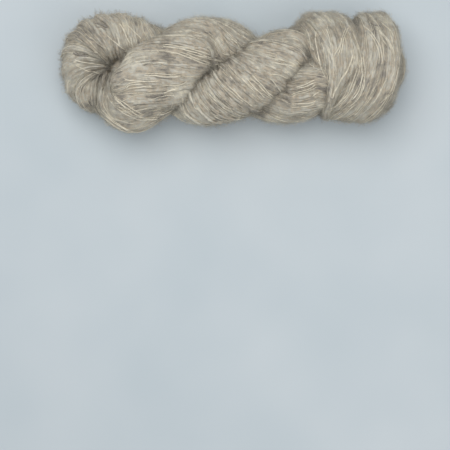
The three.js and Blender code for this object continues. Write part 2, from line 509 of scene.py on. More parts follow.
class NodeSheet:
    """The nodes of one material, with short ways to add and join them."""

    def __init__(self, name: str) -> None:
        """Starts a material.

        Args:
            name: The material's name.
        """
        self.material = bpy.data.materials.new(name)
        self.material.use_nodes = True
        self.tree = self.material.node_tree
        self.shader = self.tree.nodes["Principled BSDF"]

    def feed(self, node: bpy.types.Node, inputs: dict[str | int, object]) -> None:
        """Links outputs to a node's inputs, or sets them to plain values.

        Args:
            node: The node.
            inputs: What each input gets, by its name or number.
        """
        for name, value in inputs.items():
            if isinstance(value, bpy.types.NodeSocket):
                self.tree.links.new(value, node.inputs[name])
            else:
                node.inputs[name].default_value = value

    def add(self, kind: str, inputs: dict[str | int, object], **settings: object) -> bpy.types.Node:
        """Adds a node.

        Args:
            kind: The node's type.
            inputs: What each input gets, by its name or number.
            settings: Its properties.

        Returns:
            The node.
        """
        node = self.tree.nodes.new(kind)
        for name, value in settings.items():
            setattr(node, name, value)
        self.feed(node, inputs)
        return node

    def maths(self, operation: str, *values: object) -> bpy.types.NodeSocket:
        """Works out a number from two or three outputs or numbers."""
        return self.add("ShaderNodeMath", dict(enumerate(values)), operation=operation).outputs[0]

    def place(self) -> bpy.types.NodeSocket:
        """The place on the piece, in its object's own metres."""
        return self.add("ShaderNodeTexCoord", {}).outputs["Object"]

    def reading(self, name: str, output: str = "Fac") -> bpy.types.NodeSocket:
        """An output of what is stored on the mesh under a name."""
        return self.add("ShaderNodeAttribute", {}, attribute_name=name).outputs[output]

    def noise(
        self, place: bpy.types.NodeSocket, size: tuple[float, float, float], detail: float, rough: float = 0.5
    ) -> bpy.types.NodeSocket:
        """Adds noise whose grains have a given size.

        Args:
            place: The coordinates it is read at.
            size: The grain's size along each coordinate.
            detail: How many finer layers it has.
            rough: How strong those layers are.

        Returns:
            The output, around one half.
        """
        scale = [1.0 / value for value in size]
        scaled = self.add("ShaderNodeMapping", {"Vector": place, "Scale": scale}).outputs["Vector"]
        inputs = {"Vector": scaled, "Scale": 1.0, "Detail": detail, "Roughness": rough}
        return self.add("ShaderNodeTexNoise", inputs, noise_dimensions="3D").outputs["Fac"]

    def ramp(
        self, share: bpy.types.NodeSocket, stops: Sequence[tuple[float, Colour]]
    ) -> bpy.types.NodeSocket:
        """Turns a number into a colour.

        Args:
            share: The number's output.
            stops: Places from 0 to 1 with their colours, in order.

        Returns:
            The colour's output.
        """
        node = self.add("ShaderNodeValToRGB", {"Fac": share})
        elements = node.color_ramp.elements
        while len(elements) < len(stops):
            elements.new(1.0)
        for element, (place, colour) in zip(elements, stops):
            element.position = place
            element.color = colour.linear()
        return node.outputs["Color"]


@dataclass(frozen=True)
class WoolFinish:
    """Brushed wool, its colours in patches and in streaks along the yarn, with painted shade in creases and
    hollows.

    Attributes:
        name: The material's name.
        stops: Colours from the darkest to the lightest, with their places.
        patch_share: How much the large patches count.
        mottle_share: How much the tufts of down count.
        streak_share: How much the streaks along the yarn count.
        tone_share: How much each thread's own tone counts.
        sheen: How much light the down on the surface catches.
        relief: Depth of the fine relief, in metres.
        painted_shade_share: How much the painted shade darkens the wool's colour deep in a crease.
    """

    name: str
    stops: tuple[tuple[float, Wool], ...]
    patch_share: float
    mottle_share: float
    streak_share: float
    tone_share: float
    sheen: float
    relief: float
    painted_shade_share: float

    # Patches and tufts, in metres.
    PATCH_SIZE = (0.022, 0.022, 0.022)
    MOTTLE_SIZE = (0.0045, 0.0045, 0.0045)
    PATCH_DETAIL = 2.0
    # Streaks and hairs, in millimetres round the bundle and along the yarn.
    STREAK_SIZE = (3.6, 3.6, 14.0)
    HAIR_SIZE = (0.6, 0.6, 3.0)
    HAIR_DETAIL = 3.0
    HAIR_ROUGH = 0.6
    ROUGHNESS = 0.95
    GLOSS = 0.15
    SHEEN_ROUGHNESS = 0.6

    def material(self) -> bpy.types.Material:
        """Makes the material.

        Returns:
            The material, ready to be put on a piece.
        """
        sheet = NodeSheet(self.name)
        flow = sheet.reading(FLOW, "Vector")
        place = sheet.place()
        parts = (
            (sheet.noise(place, self.PATCH_SIZE, self.PATCH_DETAIL), self.patch_share),
            (sheet.noise(place, self.MOTTLE_SIZE, self.PATCH_DETAIL), self.mottle_share),
            (sheet.noise(flow, self.STREAK_SIZE, self.HAIR_DETAIL, self.HAIR_ROUGH), self.streak_share),
        )
        share = sheet.maths("MULTIPLY_ADD", sheet.reading(TONE), self.tone_share, 0.5)
        for noise, weight in parts:
            centred = sheet.maths("SUBTRACT", noise, 0.5)
            share = sheet.maths("MULTIPLY_ADD", centred, 2.0 * weight, share)
        colour = sheet.ramp(share, [(position, wool.value) for position, wool in self.stops])
        # Painted shade: the colour is darkened by how open the skin lies, most deeply in creases and hollows.
        shade = sheet.maths("MULTIPLY_ADD", sheet.reading(LIGHT), self.painted_shade_share, 1.0 - self.painted_shade_share)
        shaded = sheet.add("ShaderNodeVectorMath", {0: colour, 1: shade}, operation="MULTIPLY")
        inputs = {
            "Base Color": shaded.outputs["Vector"],
            "Roughness": self.ROUGHNESS,
            "Specular IOR Level": self.GLOSS,
            "Sheen Weight": self.sheen,
            "Sheen Roughness": self.SHEEN_ROUGHNESS,
            "Sheen Tint": Wool.BEIGE.value.linear(),
        }
        if self.relief > 0.0:
            hairs = sheet.noise(flow, self.HAIR_SIZE, self.HAIR_DETAIL, self.HAIR_ROUGH)
            relief = {"Strength": 1.0, "Distance": self.relief, "Height": hairs}
            inputs["Normal"] = sheet.add("ShaderNodeBump", relief).outputs["Normal"]
        sheet.feed(sheet.shader, inputs)
        return sheet.material


DOWN = WoolFinish(
    name="downy_heather",
    stops=(
        (0.10, Wool.SHADE),
        (0.30, Wool.TAUPE),
        (0.45, Wool.TAN),
        (0.55, Wool.GREY),
        (0.72, Wool.BEIGE),
        (0.95, Wool.CREAM),
    ),
    patch_share=0.5,
    mottle_share=0.35,
    streak_share=0.7,
    tone_share=0.1,
    sheen=0.3,
    relief=0.0004,
    painted_shade_share=0.68,
)

FIBRE = WoolFinish(
    name="brushed_fibre",
    stops=((0.1, Wool.SHADE), (0.3, Wool.TAUPE), (0.5, Wool.GREY), (0.7, Wool.BEIGE), (0.95, Wool.CORE)),
    patch_share=0.4,
    mottle_share=0.3,
    streak_share=0.6,
    tone_share=0.22,
    sheen=0.3,
    relief=0.0,
    painted_shade_share=0.68,
)

CORE = WoolFinish(
    name="cream_core",
    stops=((0.1, Wool.BEIGE), (0.45, Wool.CREAM), (0.8, Wool.CORE)),
    patch_share=0.1,
    mottle_share=0.3,
    streak_share=0.2,
    tone_share=0.2,
    sheen=0.25,
    relief=0.0,
    painted_shade_share=0.65,
)

# Painted shade: dark wool for the streaks of shade between groups of yarn.
SHADE_STREAK_FINISH = WoolFinish(
    name="shade_streaks",
    stops=((0.1, Wool.DEEP), (0.35, Wool.SHADE), (0.8, Wool.TAUPE)),
    patch_share=0.1,
    mottle_share=0.3,
    streak_share=0.3,
    tone_share=0.1,
    sheen=0.25,
    relief=0.0003,
    painted_shade_share=0.65,
)


def placed(name: str, data: bpy.types.ID) -> bpy.types.Object:
    """Puts a new object in the scene, at the origin.

    Args:
        name: The object's name.
        data: The mesh, light or camera that it shows.

    Returns:
        The object.
    """
    made = bpy.data.objects.new(name, data)
    bpy.context.scene.collection.objects.link(made)
    return made


def shaped(name: str, shape: bmesh.types.BMesh) -> bpy.types.Object:
    """Puts a shape in the scene as a new object, and frees it.

    Args:
        name: The object's name.
        shape: The shape.

    Returns:
        The object.
    """
    mesh = bpy.data.meshes.new(name)
    shape.to_mesh(mesh)
    shape.free()
    return placed(name, mesh)


def store(mesh: bpy.types.Mesh, name: str, values: np.ndarray) -> None:
    """Stores a number or a vector for each vertex of a mesh.

    Args:
        mesh: The mesh.
        name: The name that materials read them under.
        values: Numbers, or rows of three.
    """
    vectors = values.ndim == 2
    stored = mesh.attributes.new(name, "FLOAT_VECTOR" if vectors else "FLOAT", "POINT")
    stored.data.foreach_set("vector" if vectors else "value", values.astype(np.float32).ravel())


class BakeCell(NamedTuple):
    """A box of the bake map: its low corner and its size."""

    left: float
    low: float
    wide: float
    high: float

    def at(self, along: np.ndarray, up: np.ndarray) -> np.ndarray:
        """Places on the bake map for shares of the box, one to a row."""
        return np.stack([self.left + self.wide * along, self.low + self.high * up], axis=-1)


@dataclass
class WoundBody:
    """The closed body of the skein: every bundle joined and pressed flat where it rests.

    Attributes:
        bundles: The bundles, the largest first.
        round_steps: Facets round the folded bundle and the tip.
        band_round_steps: Facets round a band.
        step_length: Length of a facet along a bundle.
        heart_radius: Radius of the yarn along the spine.
        heart_ends: Where that yarn starts and ends.
        heart_nose: Length of its rounded end in the fold.
        heart_steps: Its facets along the skein.
        heart_crowding: How much closer the facets are at the nose.
        heart_sides: Its facets round the spine.
        cut_size: Size of the space above the resting plane.
        crease_angle: Folds sharper than this stay sharp, in degrees.
    """

    bundles: tuple[Bundle, ...]
    round_steps: int = 88
    band_round_steps: int = 64
    step_length: float = 2.0
    heart_radius: float = 12.0
    heart_ends: tuple[float, float] = (-102.0, 124.0)
    heart_nose: float = 16.0
    heart_steps: int = 16
    heart_crowding: float = 1.6
    heart_sides: int = 20
    cut_size: float = 600.0
    crease_angle: float = 55.0

    NAME = "wound_body"
    # The tone of the wool under the threads, darker than most of theirs.
    BASE_TONE = -0.6
    # The share of the nose's length at which it starts, so that its end isn't a point.
    NOSE_TIP = 0.04
    # How far the heart's faces reach over their box of the bake map.
    MAP_REACH = 0.4
    # Points closer than this become one.
    SEAM_GAP = 0.001
    CELLS = (
        BakeCell(0.01, 0.01, 0.98, 0.48),
        BakeCell(0.01, 0.51, 0.48, 0.24),
        BakeCell(0.51, 0.51, 0.48, 0.24),
        BakeCell(0.01, 0.77, 0.48, 0.22),
        BakeCell(0.51, 0.77, 0.48, 0.22),
    )

    def build(self) -> bpy.types.Object:
        """Builds the body.

        Returns:
            The finished piece, in its finish.
        """
        shells = [self._shell(bundle, cell) for bundle, cell in zip(self.bundles, self.CELLS)]
        shells.append(self._heart(self.CELLS[-1]))
        body = shells[0]
        for shell in shells[1:]:
            self._combine(body, shell, "UNION")
        self._combine(body, self._above(), "INTERSECT")
        body.name = self.NAME
        body.data.name = self.NAME
        for polygon in body.data.polygons:
            polygon.use_smooth = True
        body.data.set_sharp_from_angle(angle=math.radians(self.crease_angle))
        body.data.materials.clear()
        body.data.materials.append(DOWN.material())
        return body

    def _shell(self, bundle: Bundle, cell: BakeCell) -> bpy.types.Object:
        """Rolls a grid into the closed skin of a bundle.

        Args:
            bundle: The bundle.
            cell: Where its skin lies on the bake map.

        Returns:
            A closed shell.
        """
        steps = round(bundle.length / self.step_length)
        sides = self.band_round_steps if bundle.closed else self.round_steps
        shape = bmesh.new()
        bake = shape.loops.layers.uv.new(BAKE_MAP)
        flow = shape.loops.layers.float_vector.new(FLOW)
        tone = shape.loops.layers.float.new(TONE)
        bmesh.ops.create_grid(shape, x_segments=steps, y_segments=sides, size=0.5, calc_uvs=True)
        share, turn, _ = np.array([vert.co for vert in shape.verts]).T + 0.5
        frames = bundle.frames_at(share)
        around = FULL_TURN * turn - frames.roll
        flows = frames.flow(around, frames.yarn)
        map_places = cell.at(share, turn)
        for vert, point in zip(shape.verts, bundle.skin(share, around) * MM):
            vert.co = point
        shape.verts.index_update()
        for face in shape.faces:
            for loop in face.loops:
                loop[flow] = Vector(flows[loop.vert.index])
                loop[tone] = self.BASE_TONE
                loop[bake].uv = map_places[loop.vert.index]
        bmesh.ops.remove_doubles(shape, verts=shape.verts, dist=self.SEAM_GAP * MM)
        rims = [edge for edge in shape.edges if edge.is_boundary]
        if rims:
            bmesh.ops.holes_fill(shape, edges=rims, sides=0)
        bmesh.ops.recalc_face_normals(shape, faces=shape.faces)
        return shaped(bundle.name, shape)

    def _heart(self, cell: BakeCell) -> bpy.types.Object:
        """Extrudes the yarn along the spine.

        Args:
            cell: Where its skin lies on the bake map.

        Returns:
            A closed shell.
        """
        shape = bmesh.new()
        bake = shape.loops.layers.uv.new(BAKE_MAP)
        shape.loops.layers.float_vector.new(FLOW)
        shape.loops.layers.float.new(TONE)
        first, last = self.heart_ends
        shares = np.linspace(0.0, 1.0, self.heart_steps + 1) ** self.heart_crowding
        places = first + (last - first) * shares
        nose = np.clip((places - first) / self.heart_nose, self.NOSE_TIP, 1.0)
        radii = self.heart_radius * np.sqrt(nose)
        middles = (spine_beside(places) - MIDDLE) * MM
        middles[:, 0] = (places - MIDDLE[0]) * MM
        ring = bmesh.ops.create_circle(
            shape, cap_ends=True, segments=self.heart_sides, radius=radii[0] * MM
        )["verts"]
        bmesh.ops.rotate(shape, verts=ring, matrix=Matrix.Rotation(FULL_TURN / 4.0, 3, "Y"))
        bmesh.ops.translate(shape, verts=ring, vec=Vector(middles[0]))
        rim = shape.edges[:]
        for start, end, growth in zip(middles, middles[1:], radii[1:] / radii[:-1]):
            grown = bmesh.ops.extrude_edge_only(shape, edges=rim)["geom"]
            moved = [item for item in grown if isinstance(item, bmesh.types.BMVert)]
            bmesh.ops.translate(shape, verts=moved, vec=Vector(end - start))
            about = Matrix.Translation(-Vector(end))
            bmesh.ops.scale(shape, verts=moved, vec=(growth, growth, growth), space=about)
            rim = [item for item in grown if isinstance(item, bmesh.types.BMEdge) and item.is_boundary]
        bmesh.ops.holes_fill(shape, edges=rim, sides=0)
        bmesh.ops.recalc_face_normals(shape, faces=shape.faces)
        for each in shape.faces:
            for corner, loop in enumerate(each.loops):
                angle = FULL_TURN * corner / 4.0
                aside, up = self.MAP_REACH * math.cos(angle), self.MAP_REACH * math.sin(angle)
                loop[bake].uv = cell.at(0.5 + aside, 0.5 + up)
        return shaped("heart", shape)

    def _above(self) -> bpy.types.Object:
        """Makes the space above the resting plane.

        Returns:
            A block larger than the skein.
        """
        shape = bmesh.new()
        block = bmesh.ops.create_cube(shape, size=self.cut_size * MM)["verts"]
        bmesh.ops.translate(shape, verts=block, vec=(0.0, 0.0, 0.5 * self.cut_size * MM))
        return shaped("above", shape)

    @staticmethod
    def _combine(body: bpy.types.Object, other: bpy.types.Object, operation: str) -> None:
        """Joins another shell to the body, or keeps what both hold, and removes that shell.

        Args:
            body: The body, which changes.
            other: The other shell.
            operation: UNION or INTERSECT.
        """
        modifier = body.modifiers.new("combine", "BOOLEAN")
        modifier.operation = operation
        modifier.solver = "MANIFOLD"
        modifier.object = other
        bpy.context.view_layer.update()
        graph = bpy.context.evaluated_depsgraph_get()
        made = bpy.data.meshes.new_from_object(body.evaluated_get(graph), depsgraph=graph)
        body.modifiers.clear()
        body.data = made
        bpy.data.objects.remove(other)


@dataclass
class Ground:
    """The body's surface, which threads and fibres lie on.

    Attributes:
        bundles: The bundles that the body was made of.
        body: The body.
        reach: How far things stand in each other's light.
        rays: How many ways each place looks.
        tree: The body's surface, ready for rays.
        light: How open each of its faces lies, from 0 to 1, which the finishes paint as shade.
    """

    bundles: tuple[Bundle, ...]
    body: bpy.types.Object
    reach: float = 16.0
    rays: int = 14
    tree: BVHTree = field(init=False)
    light: np.ndarray = field(init=False)

    # How far off the skin the rays start, and the turn from one ray to the next.
    START = 0.6
    GOLDEN_TURN = math.pi * (3.0 - math.sqrt(5.0))
    # How often the light is smoothed, and its least share.
    SMOOTHING = 3
    DEEPEST = 0.6
    # A normal that rises more than this is too steep to be crossed with the vertical.
    STEEP = 0.7

    def __post_init__(self) -> None:
        """Finds how open each face of the body lies and stores it on the body, for the painted shade in
        creases.
        """
        shape = bmesh.new()
        shape.from_mesh(self.body.data)
        points = np.array([vert.co for vert in shape.verts])
        normals = np.array([vert.normal for vert in shape.verts])
        near, far = np.array([[vert.index for vert in edge.verts] for edge in shape.edges]).T
        faces = sorted(self._from_lowest([vert.index for vert in face.verts]) for face in shape.faces)
        shape.free()
        self.tree = BVHTree.FromPolygons(points.tolist(), faces)
        light = np.maximum(self._open_share(points, normals), self.DEEPEST)
        for _ in range(self.SMOOTHING):
            total = light.copy()
            number = np.ones(len(light))
            for one, other in ((near, far), (far, near)):
                np.add.at(total, one, light[other])
                np.add.at(number, one, 1.0)
            light = total / number
        # Stored for the finishes, which paint shade into the wool's colour by it.
        store(self.body.data, LIGHT, light)
        self.light = np.array([light[face].mean() for face in faces])

    @staticmethod
    def _from_lowest(corners: list[int]) -> list[int]:
        """A face's corners from the lowest number on, because a joined body lists them in any order."""
        first = corners.index(min(corners))
        return corners[first:] + corners[:first]

    def _open_share(self, points: np.ndarray, normals: np.ndarray) -> np.ndarray:
        """Finds how much of what a place looks at is open.

        Args:
            points: The places, in metres.
            normals: Which way each of them faces.

        Returns:
            A share for each place, 0 where all is blocked close by and 1 where all is open.
        """
        number = np.arange(self.rays) + 0.5
        away = np.sqrt(number / self.rays)
        turn = number * self.GOLDEN_TURN
        helper = np.where(np.abs(normals[:, 2:]) < self.STEEP, [[0.0, 0.0, 1.0]], [[1.0, 0.0, 0.0]])
        first = unit(np.cross(normals, helper))
        second = np.cross(normals, first)
        starts = points + normals * self.START * MM
        blocked = np.zeros(len(points))
        for out, angle in zip(away, turn):
            rays = normals * math.sqrt(1.0 - out * out)
            rays = rays + first * out * math.cos(angle) + second * out * math.sin(angle)
            for index, (start, ray) in enumerate(zip(starts.tolist(), rays.tolist())):
                distance = self.tree.ray_cast(start, ray, self.reach * MM)[3]
                if distance is not None:
                    blocked[index] += 1.0 - distance / (self.reach * MM)
        return 1.0 - blocked / self.rays

    def near(self, points: np.ndarray) -> tuple[np.ndarray, np.ndarray]:
        """Finds how high points lie over the body, and how open it lies there.

        Args:
            points: The points, in millimetres, in any number of rows.

        Returns:
            The heights in millimetres, below 0 inside, and the shares of light.
        """
        rows = (points.reshape(-1, 3) * MM).tolist()
        height = np.empty(len(rows))
        face = np.empty(len(rows), dtype=int)
        for index, row in enumerate(rows):
            place, normal, face[index], _ = self.tree.find_nearest(row)
            height[index] = (Vector(row) - place).dot(normal)
        shape = points.shape[:-1]
        return height.reshape(shape) / MM, self.light[face].reshape(shape)

    def seen(self, targets: np.ndarray) -> tuple[np.ndarray, np.ndarray]:
        """Finds where lines from the eye through targets meet the body.

        Args:
            targets: The points aimed at, one to a row, in millimetres.

        Returns:
            The points of the surface and the ways it faces, the nearest ones where a line misses.
        """
        places = np.empty((len(targets), 3))
        facing = np.empty((len(targets), 3))
        for index, target in enumerate(targets):
            ray = Vector(target - EYE).normalized()
            place, normal, _, _ = self.tree.ray_cast(Vector(EYE * MM), ray)
            if place is None:
                place, normal, _, _ = self.tree.find_nearest(Vector(target * MM))
            places[index] = place / MM
            facing[index] = normal
        return places, facing


class Paths(NamedTuple):
    """Middle lines of many threads, all with as many places.

    Attributes:
        middles: The places, in millimetres, by thread and place.
        facing: Which way is off the skin there.
        flow: The wool's own coordinates there.
        light: How open the skin lies there.
    """

    middles: np.ndarray
    facing: np.ndarray
    flow: np.ndarray
    light: np.ndarray

    def chosen(self, rows: np.ndarray) -> "Paths":
        """The threads of some rows."""
        return Paths(*(values[rows] for values in self))


def joined(parts: Iterable[Paths]) -> Paths:
    """The threads of several groups as one group."""
    return Paths(*(np.concatenate(columns) for columns in zip(*parts)))


@dataclass(kw_only=True)
class Layer(ABC):
    """Threads of one kind, joined in one or more pieces.

    Attributes:
        name: The name of its pieces.
        finish: What it is made of.
        sides: Sides of a thread.
        places: Places along a thread, its two ends among them.
        half_wide: Half width along the skin, least and most.
        flatness: Half height over half width.
        lift: Height of the thread's middle over the skin, least and most.
        seed: Picks the threads.
        random: The source of chance.
    """

    name: str
    finish: WoolFinish
    sides: int
    places: int
    half_wide: tuple[float, float]
    flatness: float
    lift: tuple[float, float]
    seed: int
    random: np.random.Generator = field(init=False)

    # The share of its length over which a thread tapers.
    TAPER = 0.12
    # How uneven a thread's width is, and its least and most share of the even width.
    UNEVEN = 0.16
    THINNEST = 0.6
    THICKEST = 1.5
    # How far a thread and its lowest edge keep off the resting plane.
    TABLE_GAP = 0.05
    LOWEST = 0.02
    # The free share round a thread's box of the bake map.
    MAP_MARGIN = 0.06

    def __post_init__(self) -> None:
        """Starts the layer's own chance."""
        self.random = np.random.default_rng(self.seed)

    @abstractmethod
    def build(self, ground: Ground) -> list[bpy.types.Object]:
        """Builds the layer's pieces.

        Args:
            ground: What the threads lie on.

        Returns:
            The pieces, in their finish.
        """

    def _widths(self, count: int) -> np.ndarray:
        """Gives threads a slightly uneven width and thin ends.

        Args:
            count: How many threads there are.

        Returns:
            Half widths by thread and place.
        """
        half_wide = self.random.uniform(*self.half_wide, count)[:, None]
        steps = np.linspace(0.0, 1.0, self.places)
        taper = np.sqrt(np.clip(np.minimum(steps, 1.0 - steps) / self.TAPER, 0.0, 1.0))
        uneven = self.random.normal(1.0, self.UNEVEN, (count, self.places))
        uneven = np.clip(uneven, self.THINNEST, self.THICKEST)
        uneven[:, 1:-1] = (uneven[:, :-2] + 2.0 * uneven[:, 1:-1] + uneven[:, 2:]) / 4.0
        return half_wide * uneven * taper

    def _piece(self, name: str, paths: Paths, material: bpy.types.Material) -> bpy.types.Object:
        """Joins closed threads, each pointed at both ends, into one mesh.

        Args:
            name: The piece's name.
            paths: The threads' middle lines.
            material: Their finish.

        Returns:
            The piece.
        """
        count = len(paths.middles)
        wide = self._widths(count)
        tone = np.tile(self.random.uniform(-1.0, 1.0, count)[:, None], (1, self.places))
        corners, sizes, levels, turns = self._faces()
        verts = self._verts(paths, wide)
        mesh = bpy.data.meshes.new(name)
        mesh.vertices.add(verts.shape[0] * verts.shape[1])
        mesh.vertices.foreach_set("co", (verts * MM).astype(np.float32).ravel())
        all_corners = corners + (np.arange(count) * verts.shape[1])[:, None]
        mesh.loops.add(all_corners.size)
        mesh.loops.foreach_set("vertex_index", all_corners.astype(np.int32).ravel())
        ends = np.cumsum(np.tile(sizes, count))
        mesh.polygons.add(len(ends))
        mesh.polygons.foreach_set("loop_start", np.concatenate([[0], ends[:-1]]).astype(np.int32))
        mesh.update(calc_edges=True)
        mesh.polygons.foreach_set("use_smooth", np.ones(len(ends), bool))
        columns = max(1, math.ceil(math.sqrt(count / 2.0)))
        rows = math.ceil(count / columns)
        cell = np.stack([np.arange(count) % columns, np.arange(count) // columns], axis=1)
        inside = self.MAP_MARGIN + (1.0 - 2.0 * self.MAP_MARGIN) * np.stack([levels, turns], axis=1)
        bake = (cell[:, None] + inside) / np.array([columns, rows])
        mesh.uv_layers.new(name=BAKE_MAP).uv.foreach_set("vector", bake.astype(np.float32).ravel())
        store(mesh, FLOW, self._by_vertex(paths.flow).reshape(-1, 3))
        store(mesh, TONE, self._by_vertex(tone).ravel())
        # How open the skin lies under each thread, for the painted shade in its colour.
        store(mesh, LIGHT, self._by_vertex(paths.light).ravel())
        mesh.materials.append(material)
        return placed(name, mesh)

    def _by_vertex(self, values: np.ndarray) -> np.ndarray:
        """Values by thread and place, spread over the vertices round each place."""
        middle = np.repeat(values[:, 1:-1], self.sides, axis=1)
        return np.concatenate([values[:, :1], middle, values[:, -1:]], axis=1)

    def _verts(self, paths: Paths, wide: np.ndarray) -> np.ndarray:
        """Lays a ring of vertices round each place, and one vertex at each end.

        Args:
            paths: The threads' middle lines.
            wide: Half width along the skin, by thread and place.

        Returns:
            The vertices, in millimetres, by thread.
        """
        high = wide * self.flatness
        middles = paths.middles.copy()
        middles[..., 2] = np.maximum(middles[..., 2], high + self.TABLE_GAP)
        along = unit(np.gradient(middles, axis=1))
        aside = unit(np.cross(along, paths.facing))
        up = np.cross(aside, along)
        turns = np.tile(np.arange(self.sides) * FULL_TURN / self.sides, self.places - 2)
        turns = np.concatenate([[0.0], turns, [0.0]])
        verts = self._by_vertex(middles)
        verts = verts + self._by_vertex(up * high[..., None]) * np.cos(turns)[:, None]
        verts = verts + self._by_vertex(aside * wide[..., None]) * np.sin(turns)[:, None]
        verts[:, [0, -1]] = middles[:, [0, -1]]
        verts[..., 2] = np.maximum(verts[..., 2], self.LOWEST)
        return verts

    def _faces(self) -> tuple[np.ndarray, ...]:
        """Works out the faces of one thread.

        Returns:
            The vertex of each corner, the corners of each face, and how far along and round the
            thread each corner lies, from 0 to 1.
        """
        rings = self.places - 2
        side = np.arange(self.sides)
        after = (side + 1) % self.sides
        tip = rings * self.sides + 1
        level = np.arange(1, rings)[:, None]
        low = 1 + (level - 1) * self.sides
        high = low + self.sides
        faces = (
            ((0, 0, side + 0.5), (1 + after, 1, side + 1), (1 + side, 1, side)),
            (
                (low + side, level, side),
                (low + after, level, side + 1),
                (high + after, level + 1, side + 1),
                (high + side, level + 1, side),
            ),
            (
                (tip, rings + 1, side + 0.5),
                (tip - self.sides + side, rings, side),
                (tip - self.sides + after, rings, side + 1),
            ),
        )
        rows = []
        for kind in faces:
            corners = [np.stack(np.broadcast_arrays(*corner), axis=-1) for corner in kind]
            rows.append(np.stack(corners, axis=-2).reshape(-1, 3))
        corners, levels, turns = np.concatenate(rows).T
        sizes = np.repeat([3, 4, 3], [self.sides, (rings - 1) * self.sides, self.sides])
        return corners.astype(int), sizes, levels / (self.places - 1), turns / self.sides


@dataclass(kw_only=True)
class SpreadLayer(Layer):
    """Threads that are spread evenly over the whole skein.

    Attributes:
        count: How many threads are tried, hidden ones among them.
        length: Shortest and longest length.
        stray: How far threads stray off the twist, in degrees.
        pieces: How many pieces they are shared over.
    """

    count: int
    length: tuple[float, float]
    stray: float
    pieces: int = 1

    def build(self, ground: Ground) -> list[bpy.types.Object]:
        """Builds the layer's pieces.

        Args:
            ground: What the threads lie on.

        Returns:
            The pieces, in their finish.
        """
        whole = sum(bundle.area for bundle in ground.bundles)
        found = []
        for bundle in ground.bundles:
            tried = round(self.count * bundle.area / whole)
            found.append(self._lay(bundle, tried, ground))
        paths = joined(found)
        order = self.random.permutation(len(paths.middles))
        material = self.finish.material()
        made = []
        for number, rows in enumerate(np.array_split(order, self.pieces)):
            name = self.name if self.pieces == 1 else f"{self.name}_{number + 1}"
            made.append(self._piece(name, paths.chosen(rows), material))
        return made

    @abstractmethod
    def _lay(self, bundle: Bundle, tried: int, ground: Ground) -> Paths:
        """Lays threads on a bundle, evenly over its skin, and keeps those that show.

        Args:
            bundle: The bundle.
            tried: How many threads are tried.
            ground: What the threads lie on.

        Returns:
            The middle lines of the threads that show.
        """


